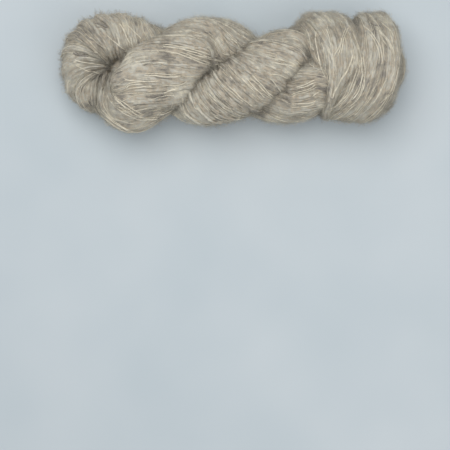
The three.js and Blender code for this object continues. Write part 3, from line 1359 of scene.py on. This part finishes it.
@dataclass(kw_only=True)
class ThreadLayer(SpreadLayer):
    """Threads that lie on the skein and follow its twist.

    Attributes:
        dive: How deep the ends go under the skin.
    """

    dive: float

    # Steps by which places fill a square evenly, one after the other.
    EVEN_STEP = 0.7548776662
    EVEN_TURN = 0.5698402910
    # Places at which a thread is tried, and how deep in the body it counts as hidden.
    TRIALS = 36
    HIDDEN_DEPTH = -1.4
    # How many of these places its ends are tucked under, and its least share of the shortest length.
    TUCK = 2
    LEAST_SHARE = 0.35
    # The length over which an end dives.
    END_LENGTH = 9.0
    # How far and over what length a thread wanders and wiggles.
    WANDER = 1.2
    WANDER_LENGTH = 50.0
    WIGGLE = 0.3
    WIGGLE_LENGTH = 13.0
    WIGGLE_PHASE = 5.0

    def _lay(self, bundle: Bundle, tried: int, ground: Ground) -> Paths:
        """Lays threads on a bundle, evenly over its skin, and keeps those that show.

        Args:
            bundle: The bundle.
            tried: How many threads are tried.
            ground: What the threads lie on.

        Returns:
            The middle lines of the threads that show.
        """
        random = self.random
        number = np.arange(tried)
        part = (number * self.EVEN_STEP + random.uniform()) % 1.0
        turn = (number * self.EVEN_TURN + random.uniform()) % 1.0
        share = bundle.share_by_area(part)
        middle_yarn = bundle.yarn_at(share)[:, None]
        around = (FULL_TURN * turn - bundle.frames_at(share).roll)[:, None]
        length = random.uniform(*self.length, tried)[:, None]
        stray = np.tan(np.radians(random.normal(0.0, self.stray, tried)))[:, None]
        phase = random.uniform(0.0, FULL_TURN, tried)[:, None]

        def strayed(yarn: np.ndarray, where: np.ndarray) -> np.ndarray:
            """Lets the threads stray and wander off the twist.

            Args:
                yarn: The length of yarn up to each place.
                where: The place along the bundle.

            Returns:
                The yarn angle of each place.
            """
            off = yarn - middle_yarn
            wave = self.WANDER * np.sin(off * FULL_TURN / self.WANDER_LENGTH + phase)
            wave += self.WIGGLE * np.sin(off * FULL_TURN / self.WIGGLE_LENGTH + self.WIGGLE_PHASE * phase)
            return around + (stray * off + wave) / bundle.frames_at(where).wide

        start = middle_yarn - 0.5 * length
        yarn = start + length * np.linspace(0.0, 1.0, self.TRIALS)
        where = bundle.share_at(yarn)
        shown = ground.near(bundle.skin(where, strayed(yarn, where)))[0] > self.HIDDEN_DEPTH
        if not bundle.closed:
            shown &= (yarn > 0.0) & (yarn < bundle.yarn_length)
        step = length / (self.TRIALS - 1)
        first, last = self._longest_runs(shown)
        shortest, _ = self.length
        kept = ((last - first + 1) * step > self.LEAST_SHARE * shortest)[:, 0]
        end = start + np.minimum(last + self.TUCK, self.TRIALS - 1) * step
        start = start + np.maximum(first - self.TUCK, 0) * step
        yarn = start + (end - start) * np.linspace(0.0, 1.0, self.places)
        where = bundle.share_at(yarn)
        angle = strayed(yarn, where)
        to_end = np.minimum(yarn - start, (end - start) - (yarn - start))
        lift = random.uniform(*self.lift, tried)[:, None]
        lift = lift - self.dive * (1.0 - smoothstep(to_end, 0.0, self.END_LENGTH))
        middles = bundle.skin(where, angle, lift)[kept]
        facing = bundle.outward_at(where, angle)[kept]
        flow = bundle.frames_at(where).flow(angle, yarn)[kept]
        return Paths(middles, facing, flow, ground.near(middles)[1])

    @staticmethod
    def _longest_runs(shown: np.ndarray) -> tuple[np.ndarray, np.ndarray]:
        """Finds the longest stretch of each thread that shows.

        Args:
            shown: True for each place that shows, by thread and place.

        Returns:
            The first and the last place of the stretch, the last before the first where none shows.
        """
        runs = np.tile([0, -1], (len(shown), 1))
        for row, flags in enumerate(shown):
            edges = np.flatnonzero(np.diff(np.concatenate([[0], flags.astype(int), [0]])))
            starts, ends = edges[::2], edges[1::2]
            if len(starts):
                best = int(np.argmax(ends - starts))
                runs[row] = starts[best], ends[best] - 1
        return runs[:, :1], runs[:, 1:]


@dataclass(kw_only=True)
class FibreLayer(SpreadLayer):
    """Brushed fibres that stand off the yarn and blur its turns.

    Attributes:
        rise: How far a fibre's middle or tip rises over its ends, at most.
        standing: Share of the fibres that stand up by one end.
        sides: Sides of a fibre.
        flatness: Half height over half width.
    """

    rise: float
    standing: float
    sides: int = 3
    flatness: float = 1.0

    # How deep in the body a fibre counts as hidden.
    HIDDEN_DEPTH = -1.0
    # How far a fibre curls for its length, and how much of that shifts its ends back.
    CURL = 0.22
    CURL_SHIFT = 0.4
    # Both spreads favour short fibres and low ones.
    LENGTH_SPREAD = (1.5, 3.0)
    RISE_SPREAD = (1.0, 2.5)

    def _widths(self, count: int) -> np.ndarray:
        """Half widths by fibre and place, the same all along a fibre."""
        return np.tile(self.random.uniform(*self.half_wide, count)[:, None], (1, self.places))

    def _lay(self, bundle: Bundle, tried: int, ground: Ground) -> Paths:
        """Grows fibres all over a bundle and keeps those that show.

        Args:
            bundle: The bundle.
            tried: How many fibres are tried.
            ground: What the fibres grow from.

        Returns:
            The middle lines of the fibres that show.
        """
        random = self.random
        share = bundle.share_by_area(random.uniform(0.0, 1.0, tried))
        around = random.uniform(0.0, FULL_TURN, tried)
        height, light = ground.near(bundle.skin(share, around))
        shown = height > self.HIDDEN_DEPTH
        share, around, light = (values[shown][:, None] for values in (share, around, light))
        size = (len(share), 1)
        steps = np.linspace(-0.5, 0.5, self.places)
        shortest, longest = self.length
        length = shortest + (longest - shortest) * random.beta(*self.LENGTH_SPREAD, size)
        angle = np.radians(random.normal(0.0, self.stray, size))
        curl = random.normal(0.0, self.CURL, size) * length
        off = length * steps
        sideways = off * np.sin(angle) + curl * (4.0 * steps * steps - self.CURL_SHIFT)
        yarn = bundle.yarn_at(share) + off * np.cos(angle)
        if not bundle.closed:
            yarn = np.clip(yarn, 0.0, bundle.yarn_length)
        where = bundle.share_at(yarn)
        frames = bundle.frames_at(where)
        turned = around + sideways / frames.wide
        root = random.uniform(*self.lift, size)
        rise = self.rise * random.beta(*self.RISE_SPREAD, size)
        standing = random.uniform(0.0, 1.0, size) < self.standing
        tip = smoothstep(steps, -0.5, 0.5)
        lift = root + rise * np.where(standing, tip, 1.0 - 4.0 * steps * steps)
        middles = bundle.skin(where, turned, lift)
        facing = bundle.outward_at(where, turned)
        return Paths(middles, facing, frames.flow(turned, yarn), np.repeat(light, self.places, axis=1))


class Route(NamedTuple):
    """Threads that lie side by side.

    Attributes:
        strands: How many threads there are.
        points: Places x and y on the way, as seen from the eye at the height of the spine.
    """

    strands: int
    points: tuple[tuple[float, float], ...]


@dataclass(kw_only=True)
class LaidThreads(Layer):
    """Threads that lie on top of the near side, each at its own place.

    Attributes:
        routes: Where the threads lie.
        gap: Distance between threads side by side.
        dive: How deep the ends go under the skin.
        sides: Sides of a thread.
    """

    routes: tuple[Route, ...]
    gap: float
    dive: float
    sides: int = 4

    # The share of its route that a thread may lack at an end, and over which the end dives.
    UNEVEN_END = 0.14
    DIVE_SHARE = 0.16
    # How far a thread wanders off its route, and how far and over what length it wiggles.
    WANDER = 0.6
    WIGGLE = 0.18
    WIGGLE_LENGTH = 13.0
    # How often the way it faces is smoothed, and how far apart the streaks of two threads lie.
    SMOOTHING = 2
    STREAK_SPREAD = 99.0

    def build(self, ground: Ground) -> list[bpy.types.Object]:
        """Builds the piece.

        Args:
            ground: What the threads lie on.

        Returns:
            The piece, in its finish.
        """
        parts = []
        for route in self.routes:
            for strand in range(route.strands):
                aside = (strand - 0.5 * (route.strands - 1)) * self.gap
                parts.append(self._lay(route, aside, ground))
        return [self._piece(self.name, joined(parts), self.finish.material())]

    def _lay(self, route: Route, aside: float, ground: Ground) -> Paths:
        """Lays one thread.

        Args:
            route: Where its group lies.
            aside: How far beside the middle of the group it lies.
            ground: What it lies on.

        Returns:
            The middle line of the thread.
        """
        random = self.random
        start, end = random.uniform(0.0, self.UNEVEN_END, 2)
        shares = np.linspace(start, 1.0 - end, self.places)
        plan = catmull_rom(np.array(route.points), shares, closed=False)
        travel = np.cumsum(np.linalg.norm(np.diff(plan, axis=0, prepend=plan[:1]), axis=1))
        wave = np.sin(FULL_TURN * (travel / self.WIGGLE_LENGTH + random.uniform()))
        wander = np.linspace(*random.normal(0.0, self.WANDER, 2), self.places)
        ahead = unit(np.gradient(plan, axis=0))
        left = np.column_stack([-ahead[:, 1], ahead[:, 0]])
        plan = plan + left * (aside + wander + self.WIGGLE * wave)[:, None]
        middles, facing = ground.seen(np.column_stack([plan, np.full(self.places, SPINE_HEIGHT)]))
        for _ in range(self.SMOOTHING):
            facing[1:-1] = unit(facing[:-2] + 2.0 * facing[1:-1] + facing[2:])
        steps = np.linspace(0.0, 1.0, self.places)
        ends = 1.0 - smoothstep(np.minimum(steps, 1.0 - steps), 0.0, self.DIVE_SHARE)
        lift = random.uniform(*self.lift) - self.dive * ends
        middles = (middles + facing * lift[:, None])[None]
        streak = np.full((self.places, 2), random.uniform(0.0, self.STREAK_SPREAD))
        flow = np.column_stack([streak, travel])[None]
        return Paths(middles, facing[None], flow, ground.near(middles)[1])


# Cream threads that lie on top of the near side.
CREAM_ROUTES = (
    Route(1, ((-132, 11), (-112, 6), (-92, 3))),
    Route(1, ((-131, 9), (-120, 7), (-108, 4), (-92, 2))),
    Route(1, ((-130, 7), (-118, 1), (-104, -2))),
    Route(1, ((-130, 24), (-118, 19), (-105, 15))),
    Route(1, ((-119, 30), (-109, 24), (-100, 17))),
    Route(1, ((-95, 42), (-87, 31), (-80, 20))),
    Route(1, ((-87, 40), (-80, 33), (-73, 26))),
    Route(1, ((-104, 31), (-95, 24), (-86, 17))),
    Route(3, ((-110, -15), (-109, -27), (-102, -36), (-91, -44), (-81, -49), (-67, -48), (-56, -42))),
    Route(1, ((-105, -15), (-104, -28), (-97, -37), (-85, -41), (-75, -45))),
    Route(2, ((-103, -14), (-98, -23), (-87, -33), (-75, -38), (-63, -38), (-55, -38))),
    Route(2, ((-101, -14), (-95, -22), (-85, -29), (-75, -35), (-67, -36))),
    Route(2, ((-47, -24), (-50, -30), (-55, -33), (-67, -35))),
    Route(1, ((-100, -15), (-93, -24), (-83, -32))),
    Route(2, ((-65, 20), (-56, 21), (-44, 20), (-30, 17), (-14, 12), (0, 8))),
    Route(2, ((-55, 17), (-43, 15), (-33, 11), (-22, 7), (-12, 5), (0, 7))),
    Route(2, ((-40, 17), (-29, 13), (-16, 10), (-3, 7))),
    Route(2, ((-75, -2), (-63, -2), (-51, -3), (-38, -2))),
    Route(1, ((-91, -4), (-82, -7), (-71, -8), (-52, -8))),
    Route(2, ((-87, -14), (-84, -10), (-67, -9))),
    Route(1, ((-61, -11), (-51, -12), (-41, -11), (-34, -7))),
    Route(1, ((-83, -13), (-71, -12), (-63, -12))),
    Route(1, ((-79, 7), (-63, 7), (-49, 6))),
    Route(1, ((-38, 33), (-28, 31), (-20, 28))),
    Route(1, ((-5, 29), (3, 23), (8, 16))),
    Route(1, ((1, 36), (11, 27), (17, 20))),
    Route(1, ((-16, 42), (-3, 36), (6, 27))),
    Route(1, ((-8, 17), (-1, 12))),
    Route(1, ((-59, -19), (-51, -16), (-44, -15))),
    Route(1, ((-35, -16), (-33, -24), (-27, -33))),
    Route(1, ((-41, -20), (-40, -29), (-37, -38))),
    Route(1, ((-38, -20), (-37, -29), (-34, -36))),
    Route(2, ((-26, -20), (-20, -29), (-11, -38))),
    Route(2, ((-23, -9), (-18, -17), (-8, -27), (5, -34))),
    Route(1, ((-21, -11), (-15, -20), (-5, -29), (5, -33))),
    Route(2, ((-10, -7), (0, -16), (11, -25), (21, -31))),
    Route(1, ((-3, -2), (6, -14))),
    Route(2, ((7, -2), (15, -11), (23, -20), (28, -24))),
    Route(2, ((12, -1), (21, -9), (29, -18), (35, -24))),
    Route(1, ((28, -4), (37, -12), (42, -18))),
    Route(2, ((28, 10), (39, 8), (47, 6), (53, 2))),
    Route(1, ((28, -2), (39, -3), (48, -7))),
    Route(1, ((47, 23), (55, 20))),
    Route(1, ((37, 25), (47, 27), (56, 25))),
    Route(1, ((-19, -32), (-10, -38), (2, -40))),
    Route(2, ((50, -14), (60, -11), (70, -7))),
    Route(2, ((46, -21), (55, -18), (65, -14), (73, -9))),
    Route(2, ((47, -27), (59, -27), (72, -24))),
    Route(1, ((62, 6), (68, 2))),
    Route(1, ((64, -20), (73, -16))),
    Route(1, ((46, -33), (55, -33), (67, -32))),
    Route(1, ((55, -37), (64, -38))),
    Route(1, ((58, 38), (63, 27), (64, 15))),
    Route(2, ((69, 40), (69, 25), (71, 13), (73, 2), (77, -7))),
    Route(1, ((72, 9), (76, -2), (80, -11))),
    Route(1, ((75, 38), (79, 27), (81, 19))),
    Route(2, ((96, 40), (91, 29), (89, 19), (86, 7))),
    Route(1, ((89, 27), (86, 17), (84, 11))),
    Route(2, ((100, 25), (98, 13), (94, 2), (88, -7), (83, -17), (81, -25))),
    Route(2, ((101, 24), (105, 15), (107, 2), (106, -11), (102, -20), (97, -26))),
    Route(2, ((100, 9), (103, 3), (100, -7), (96, -17), (90, -24), (81, -30), (77, -33))),
    Route(1, ((100, -3), (95, -14), (89, -24), (82, -29))),
    Route(2, ((104, 40), (113, 30), (119, 20), (121, 9), (120, 1))),
    Route(2, ((112, 40), (124, 28), (130, 19), (133, 11))),
    Route(1, ((119, 42), (129, 33), (133, 27))),
    Route(1, ((121, 29), (127, 19))),
    Route(1, ((126, -3), (122, -14), (117, -25))),
    Route(1, ((133, -14), (127, -20), (119, -28))),
    Route(1, ((92, -30), (98, -27), (103, -21), (107, -15))),
    Route(1, ((80, -39), (88, -36), (96, -30), (102, -24))),
    Route(1, ((77, -35), (84, -29), (92, -22))),
    Route(1, ((112, -28), (118, -21), (124, -11))),
)

# Dark wool laid where shade falls between groups of yarn on the near side: painted shade streaks.
SHADE_STREAK_ROUTES = (
    Route(2, ((-131, 16), (-122, 14), (-113, 11))),
    Route(1, ((-121, 30), (-111, 24))),
    Route(2, ((-113, 38), (-107, 37), (-101, 34))),
    Route(1, ((-95, 23), (-90, 17), (-87, 12))),
    Route(1, ((-101, -13), (-93, -20), (-89, -24))),
    Route(2, ((-69, -22), (-59, -20), (-52, -17))),
    Route(1, ((-56, -30), (-52, -28), (-49, -24))),
    Route(2, ((-61, 12), (-52, 11), (-44, 10))),
    Route(1, ((-67, -5), (-56, -5), (-46, -6))),
    Route(2, ((2, 28), (6, 22), (12, 17))),
    Route(1, ((71, 32), (73, 24), (74, 17))),
    Route(2, ((108, 40), (117, 38), (127, 35))),
    Route(1, ((55, -33), (65, -33), (68, -32))),
)

LAYERS = (
    ThreadLayer(
        name="fluffy_yarn",
        finish=DOWN,
        count=1500,
        sides=4,
        places=13,
        length=(35.0, 110.0),
        half_wide=(0.9, 1.7),
        flatness=0.4,
        lift=(-0.4, 0.2),
        stray=5.0,
        dive=1.6,
        seed=21,
    ),
    ThreadLayer(
        name="core_thread",
        finish=CORE,
        count=700,
        sides=3,
        places=16,
        length=(25.0, 100.0),
        half_wide=(0.22, 0.42),
        flatness=0.9,
        lift=(0.2, 0.9),
        stray=4.0,
        dive=1.6,
        seed=22,
    ),
    LaidThreads(
        name="cream_thread",
        finish=CORE,
        routes=CREAM_ROUTES,
        places=18,
        half_wide=(0.36, 0.52),
        flatness=0.8,
        lift=(0.7, 1.1),
        gap=1.6,
        dive=1.6,
        seed=31,
    ),
    # Painted shade: dark streaks laid between groups of yarn.
    LaidThreads(
        name="shade_streaks",
        finish=SHADE_STREAK_FINISH,
        routes=SHADE_STREAK_ROUTES,
        places=12,
        half_wide=(0.6, 1.0),
        flatness=0.5,
        lift=(0.2, 0.6),
        gap=1.9,
        dive=1.4,
        seed=32,
    ),
    FibreLayer(
        name="brushed_fibres",
        finish=FIBRE,
        count=11500,
        places=4,
        length=(6.0, 18.0),
        half_wide=(0.06, 0.1),
        lift=(0.3, 1.1),
        stray=45.0,
        rise=1.6,
        standing=0.3,
        seed=23,
    ),
    FibreLayer(
        name="short_down",
        finish=FIBRE,
        count=112000,
        pieces=3,
        places=3,
        length=(2.5, 9.0),
        half_wide=(0.05, 0.09),
        lift=(0.2, 1.1),
        stray=90.0,
        rise=5.5,
        standing=0.7,
        seed=25,
    ),
    FibreLayer(
        name="loose_hairs",
        finish=FIBRE,
        count=7500,
        places=4,
        length=(5.0, 18.0),
        half_wide=(0.035, 0.06),
        lift=(0.2, 1.2),
        stray=60.0,
        rise=7.0,
        standing=0.7,
        seed=24,
    ),
)


class Lamp(NamedTuple):
    """A soft square light that faces the skein.

    Attributes:
        name: The light's name.
        place: Where it hangs, in millimetres.
        power: Its power in watts.
    """

    name: str
    place: tuple[float, float, float]
    power: float


@dataclass
class Studio:
    """A pale surface, soft light and a camera straight above.

    Attributes:
        view_width: Width of the view at the height of the spine.
        floor_size: Length of a side of the surface.
        lamp_size: Length of a light's side.
        sky_strength: How bright the room is.
    """

    view_width: float = 367.0
    floor_size: float = 6000.0
    lamp_size: float = 1000.0
    sky_strength: float = 0.49

    LAMPS = (Lamp("key", (-200.0, 300.0, 1100.0), 7.5), Lamp("fill", (500.0, -500.0, 900.0), 3.0))
    SENSOR_MM = 36.0
    VIEW_END = 20.0
    FLOOR_PARTS = 4
    FLOOR_ROUGHNESS = 0.75
    CLOUD_SIZE = (0.12, 0.12, 0.12)
    CLOUD_DETAIL = 2.0
    CLOUD_STOPS = ((0.3, Colour(197, 206, 210)), (0.7, Colour(206, 213, 216)))
    SKY = Colour(226, 232, 238)

    def build(self) -> None:
        """Builds the surface, the lights and the camera."""
        self._floor()
        for lamp in self.LAMPS:
            self._light(lamp)
        self._world()
        self._camera()

    def _floor(self) -> None:
        """Lays the surface that the skein rests on."""
        shape = bmesh.new()
        parts = self.FLOOR_PARTS
        bmesh.ops.create_grid(shape, x_segments=parts, y_segments=parts, size=0.5 * self.floor_size * MM)
        floor = shaped("floor", shape)
        sheet = NodeSheet("pale_surface")
        cloudy = sheet.noise(sheet.place(), self.CLOUD_SIZE, self.CLOUD_DETAIL)
        colour = sheet.ramp(cloudy, self.CLOUD_STOPS)
        sheet.feed(sheet.shader, {"Base Color": colour, "Roughness": self.FLOOR_ROUGHNESS})
        floor.data.materials.append(sheet.material)

    def _light(self, lamp: Lamp) -> None:
        """Hangs a light.

        Args:
            lamp: What hangs where.
        """
        data = bpy.data.lights.new(lamp.name, "AREA")
        data.size = self.lamp_size * MM
        data.energy = lamp.power
        light = placed(lamp.name, data)
        light.location = Vector(lamp.place) * MM
        aim = Vector((0.0, 0.0, SPINE_HEIGHT * MM)) - light.location
        light.rotation_euler = aim.to_track_quat("-Z", "Y").to_euler()

    def _world(self) -> None:
        """Lights the scene evenly from all round."""
        world = bpy.data.worlds.new("soft_room")
        world.use_nodes = True
        background = world.node_tree.nodes["Background"]
        background.inputs["Color"].default_value = self.SKY.linear()
        background.inputs["Strength"].default_value = self.sky_strength
        bpy.context.scene.world = world
        bpy.context.scene.view_settings.view_transform = "Standard"

    def _camera(self) -> None:
        """Hangs the camera straight above its point, with the skein's width across the picture."""
        data = bpy.data.cameras.new("camera")
        data.sensor_width = self.SENSOR_MM
        data.lens = self.SENSOR_MM * (EYE[2] - SPINE_HEIGHT) / self.view_width
        data.clip_end = self.VIEW_END
        camera = placed("camera", data)
        camera.location = Vector(EYE) * MM
        bpy.context.scene.camera = camera


def main() -> None:
    """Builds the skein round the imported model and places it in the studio."""
    logging.basicConfig(level=logging.INFO, format="%(message)s")
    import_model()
    bundles = skein_bundles()
    body = WoundBody(bundles).build()
    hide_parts(CAD_NODE)
    ground = Ground(bundles, body)
    pieces = [body]
    for layer in LAYERS:
        pieces.extend(layer.build(ground))
    for piece in pieces:
        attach(piece, BODY_NAME)
        LOG.info("%s: %d faces", piece.name, len(piece.data.polygons))
    Studio().build()


if __name__ == "__main__":
    main()
